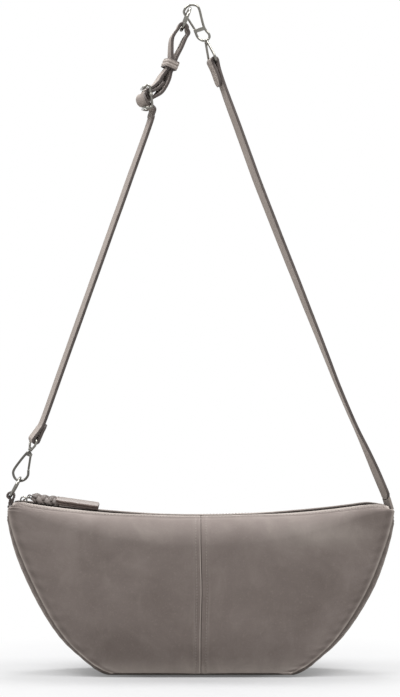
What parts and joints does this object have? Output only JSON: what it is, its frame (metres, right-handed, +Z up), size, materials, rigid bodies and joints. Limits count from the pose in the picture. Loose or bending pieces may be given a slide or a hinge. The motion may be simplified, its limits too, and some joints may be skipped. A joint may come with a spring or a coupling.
{
  "type": "shoulder bag",
  "caption": "Half-moon soft leather shoulder bag with a zipped top and a long strap held by metal clips and rings.",
  "frame": {"origin": "middle of the bag's flat base", "axes": "+X to the right seen from the front, +Y to the back, +Z up along the strap; the front faces -Y"},
  "size_m": [0.388, 0.091, 0.6695],
  "materials": {
    "nubuck": "matt brushed nap",
    "dark_leather": "satin",
    "polished_metal": "polished",
    "zip_cloth": "woven tape",
    "lining_cloth": "plain weave"
  },
  "bodies": {
    "bag": {"front_panel_left": "nubuck", "front_panel_right": "nubuck", "back_panel": "nubuck", "gusset": "nubuck", "lining": "lining_cloth", "inner_pocket": "lining_cloth", "end_cap_left": "dark_leather", "end_cap_right": "dark_leather", "ring_tab": "dark_leather", "strap_anchor": "nubuck"},
    "zip_front": {"zip_tape_front": "zip_cloth", "zip_coil_front": "polished_metal"},
    "zip_back": {"zip_tape_back": "zip_cloth", "zip_coil_back": "polished_metal"},
    "slider": {"zip_slider": "polished_metal"},
    "puller": {"zip_puller": "polished_metal"},
    "pull": {"leather_pull": "dark_leather"},
    "corner_ring": {"bag_ring": "polished_metal"},
    "strap": {"strap_left": "nubuck", "strap_right": "nubuck", "buckle_frame": "polished_metal", "lower_clip_eye": "polished_metal", "upper_clip_eye": "polished_metal"},
    "lower_clip": {"lower_clip_frame": "polished_metal", "lower_clip_pin": "polished_metal"},
    "lower_gate": {"lower_clip_gate": "polished_metal"},
    "upper_clip": {"upper_clip_frame": "polished_metal", "upper_clip_pin": "polished_metal"},
    "upper_gate": {"upper_clip_gate": "polished_metal"},
    "top_ring": {"strap_ring": "polished_metal"},
    "keeper": {"strap_keeper": "nubuck"}
  },
  "joints": [
    {"name": "zip_run", "type": "hinge", "parent": "bag", "child": "slider", "pos_m": [0, 0, 1.307], "axis": [0, -1, 0], "range_deg": [0, 13.14]},
    {"name": "zip_front_slide", "type": "slide", "parent": "bag", "child": "zip_front", "axis": [0, -1, 0], "range_m": [0, 0.0072]},
    {"name": "zip_back_slide", "type": "slide", "parent": "bag", "child": "zip_back", "axis": [0, 1, 0], "range_m": [0, 0.0072]},
    {"name": "puller_lift", "type": "hinge", "parent": "slider", "child": "puller", "pos_m": [-0.17473, 0, 0.17217], "axis": [0, -1, 0], "range_deg": [0, 25]},
    {"name": "pull_lift", "type": "hinge", "parent": "puller", "child": "pull", "pos_m": [-0.16901, 0, 0.17547], "axis": [0, -1, 0], "range_deg": [0, 40]},
    {"name": "ring_swing", "type": "hinge", "parent": "bag", "child": "corner_ring", "pos_m": [-0.1878, 0, 0.17584], "axis": [0, 1, 0], "range_deg": [-8, 0.5]},
    {"name": "strap_swing", "type": "hinge", "parent": "bag", "child": "strap", "pos_m": [0.186, 0, 0.17994], "axis": [0.9995, 0, -0.0305], "range_deg": [-70, 70]},
    {"name": "lower_clip_swivel", "type": "hinge", "parent": "strap", "child": "lower_clip", "pos_m": [-0.16909, 0, 0.21972], "axis": [0.36, 0, 0.933], "range_deg": [-8, 8]},
    {"name": "lower_gate_open", "type": "hinge", "parent": "lower_clip", "child": "lower_gate", "pos_m": [-0.16789, 0, 0.21632], "axis": [0, 1, 0], "range_deg": [0, 22], "stiffness_Nm_per_rad": 0.002, "springref_deg": -11.46},
    {"name": "upper_clip_swivel", "type": "hinge", "parent": "strap", "child": "upper_clip", "pos_m": [0.00741, 0.00718, 0.63249], "axis": [0.3173, 0, -0.9483], "range_deg": [-20, 20]},
    {"name": "upper_gate_open", "type": "hinge", "parent": "upper_clip", "child": "upper_gate", "pos_m": [-0.00309, 0.00718, 0.6424], "axis": [0, 1, 0], "range_deg": [0, 22], "stiffness_Nm_per_rad": 0.002, "springref_deg": -11.46},
    {"name": "top_ring_swing", "type": "hinge", "parent": "strap", "child": "top_ring", "pos_m": [-0.01726, 0.00559, 0.6423], "axis": [-0.138, 0.9903, -0.0179], "range_deg": [-0.4, 8]},
    {"name": "keeper_slide", "type": "slide", "parent": "strap", "child": "keeper", "axis": [0.3795, 0.0696, 0.9226], "range_m": [-0.0015, 0.0015]}
  ],
  "couplings": [
    {"joint": "zip_front_slide", "follows": "zip_run", "m_per_rad": 0.031355},
    {"joint": "zip_back_slide", "follows": "zip_run", "m_per_rad": 0.031355}
  ]
}
